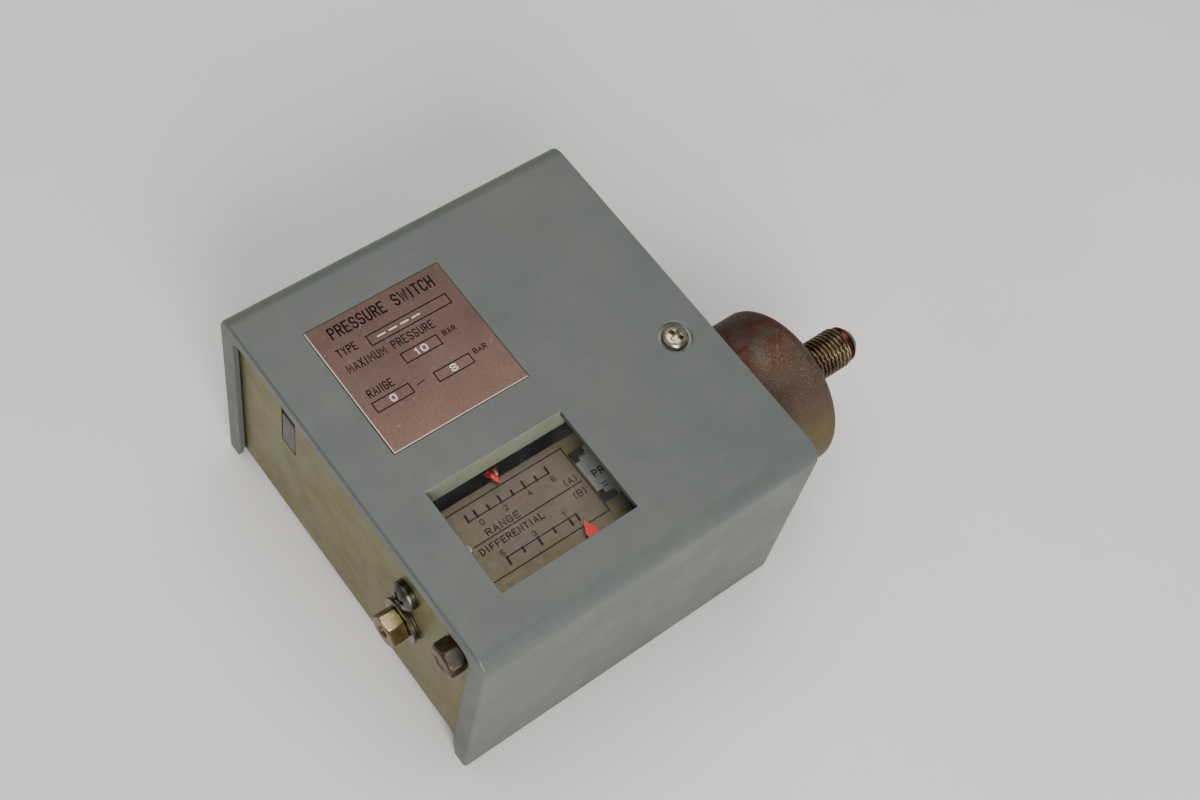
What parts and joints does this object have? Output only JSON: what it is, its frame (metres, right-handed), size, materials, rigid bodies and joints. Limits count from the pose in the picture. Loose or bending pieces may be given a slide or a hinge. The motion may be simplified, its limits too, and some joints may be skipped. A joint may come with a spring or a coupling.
{
  "type": "pressure switch",
  "caption": "Box-shaped bellows pressure switch with a lift-off cover, scale window, nameplate, two adjusting screws and a cupped bellows housing with a flare fitting.",
  "frame": {"origin": "centre of the rectangle of mounting holes, on the mounting plane under the frame's feet", "axes": "+Z out of the front face, away from the mounting surface; +X along the bellows axis towards the flare fitting; +Y across the case, from the adjusting screws towards the cable hole"},
  "size_m": [0.1481, 0.107, 0.0643],
  "materials": {
    "zinc_plate": "yellow-passivated zinc, mottled and stained",
    "cover_grey": "grey-green, satin, lightly scuffed",
    "clear_pane": "clear, slightly dusty",
    "nameplate_metal": "satin, printed",
    "bright_steel": "bright plated steel",
    "cup_metal": "aged plating with brown speckle",
    "fitting_brass": "tarnished",
    "bellows_bronze": "thin rolled bronze",
    "dark_steel": "dark and oily",
    "screw_brass": "pale yellow, bright",
    "screw_bronze": "dark and tarnished",
    "spring_steel": "drawn wire",
    "pointer_red": "orange-red paint",
    "scale_metal": "printed, aged",
    "label_metal": "bluish grey",
    "black_moulding": "moulded",
    "brown_moulding": "moulded",
    "plunger_red": "moulded",
    "contact_copper": "rolled",
    "terminal_brass": "stamped",
    "black_rubber": "matt"
  },
  "bodies": {
    "frame": {"chassis": "zinc_plate", "end_plate": "zinc_plate", "plate_rivets": "bright_steel", "scale_bracket": "zinc_plate", "pivot_bracket": "zinc_plate", "switch_bracket": "zinc_plate", "bellows_cup": "cup_metal", "flare_fitting": "fitting_brass", "cup_rivets": "bright_steel", "pivot_pin": "bright_steel", "bracket_rivets": "bright_steel", "foot_rivet": "bright_steel", "scale_rivets": "bright_steel", "range_washer": "bright_steel", "bracket_screw": "dark_steel", "scale_plate": "scale_metal", "label_plate": "label_metal", "switch_case": "black_moulding", "switch_lid": "brown_moulding", "terminals": "terminal_brass", "terminal_screws": "bright_steel", "switch_screws": "bright_steel", "cable_grommet": "black_rubber", "earth_screw": "bright_steel", "earth_washer": "terminal_brass", "bellows": "bellows_bronze", "range_spring": "spring_steel", "differential_spring": "spring_steel"},
    "cover": {"cover": "cover_grey", "window_pane": "clear_pane", "nameplate": "nameplate_metal"},
    "cover_screw": {"cover_screw": "bright_steel"},
    "range_screw": {"range_screw": "screw_brass", "range_clip": "dark_steel"},
    "range_carriage": {"range_nut": "bright_steel", "range_pointer": "pointer_red"},
    "differential_screw": {"differential_screw": "screw_bronze", "differential_clip": "dark_steel"},
    "differential_carriage": {"differential_nut": "bright_steel", "differential_pointer": "pointer_red"},
    "main_lever": {"main_lever": "zinc_plate"},
    "push_rod": {"push_rod": "bright_steel", "spring_seat": "zinc_plate", "bellows_cap": "bellows_bronze"},
    "switch_plunger": {"switch_plunger": "plunger_red"},
    "contact_blade": {"contact_blade": "contact_copper"}
  },
  "joints": [
    {"name": "cover_lift", "type": "slide", "parent": "frame", "child": "cover", "axis": [0, 0, 1], "range_m": [0, 0.08]},
    {"name": "cover_screw_turn", "type": "hinge", "parent": "cover", "child": "cover_screw", "pos_m": [0.039, -0.0095, 0.062], "axis": [0, 0, 1], "range_deg": [0, 1440]},
    {"name": "range_screw_turn", "type": "hinge", "parent": "frame", "child": "range_screw", "pos_m": [-0.045, -0.023, 0.031], "axis": [1, 0, 0], "range_deg": [-4014, 4230]},
    {"name": "range_travel", "type": "slide", "parent": "frame", "child": "range_carriage", "axis": [1, 0, 0], "range_m": [-0.01175, 0.01115], "deforming": ["range_spring"]},
    {"name": "differential_screw_turn", "type": "hinge", "parent": "frame", "child": "differential_screw", "pos_m": [-0.045, -0.0418, 0.049], "axis": [1, 0, 0], "range_deg": [0, 7056]},
    {"name": "differential_travel", "type": "slide", "parent": "frame", "child": "differential_carriage", "axis": [1, 0, 0], "range_m": [-0.0196, 0], "deforming": ["differential_spring"]},
    {"name": "lever_turn", "type": "hinge", "parent": "frame", "child": "main_lever", "pos_m": [0.0395, -0.047, 0.037], "axis": [0, 0, 1], "range_deg": [0, 2], "stiffness_Nm_per_rad": 0.5, "springref_deg": -2.86},
    {"name": "push_rod_travel", "type": "slide", "parent": "frame", "child": "push_rod", "axis": [-1, 0, 0], "range_m": [0, 0.00085], "deforming": ["bellows"]},
    {"name": "plunger_travel", "type": "slide", "parent": "frame", "child": "switch_plunger", "axis": [-1, 0, 0], "range_m": [0, 0.0019]},
    {"name": "blade_turn", "type": "hinge", "parent": "frame", "child": "contact_blade", "pos_m": [0.0243, -0.0006, 0.031], "axis": [0, 0, 1], "range_deg": [0, 11.1]}
  ],
  "couplings": [
    {"joint": "range_screw_turn", "follows": "range_travel", "rad_per_m": -6283.2},
    {"joint": "differential_screw_turn", "follows": "differential_travel", "rad_per_m": -6283.2},
    {"joint": "push_rod_travel", "follows": "lever_turn", "m_per_rad": 0.024},
    {"joint": "plunger_travel", "follows": "lever_turn", "m_per_rad": 0.054},
    {"joint": "blade_turn", "follows": "lever_turn", "ratio": 5.5}
  ]
}
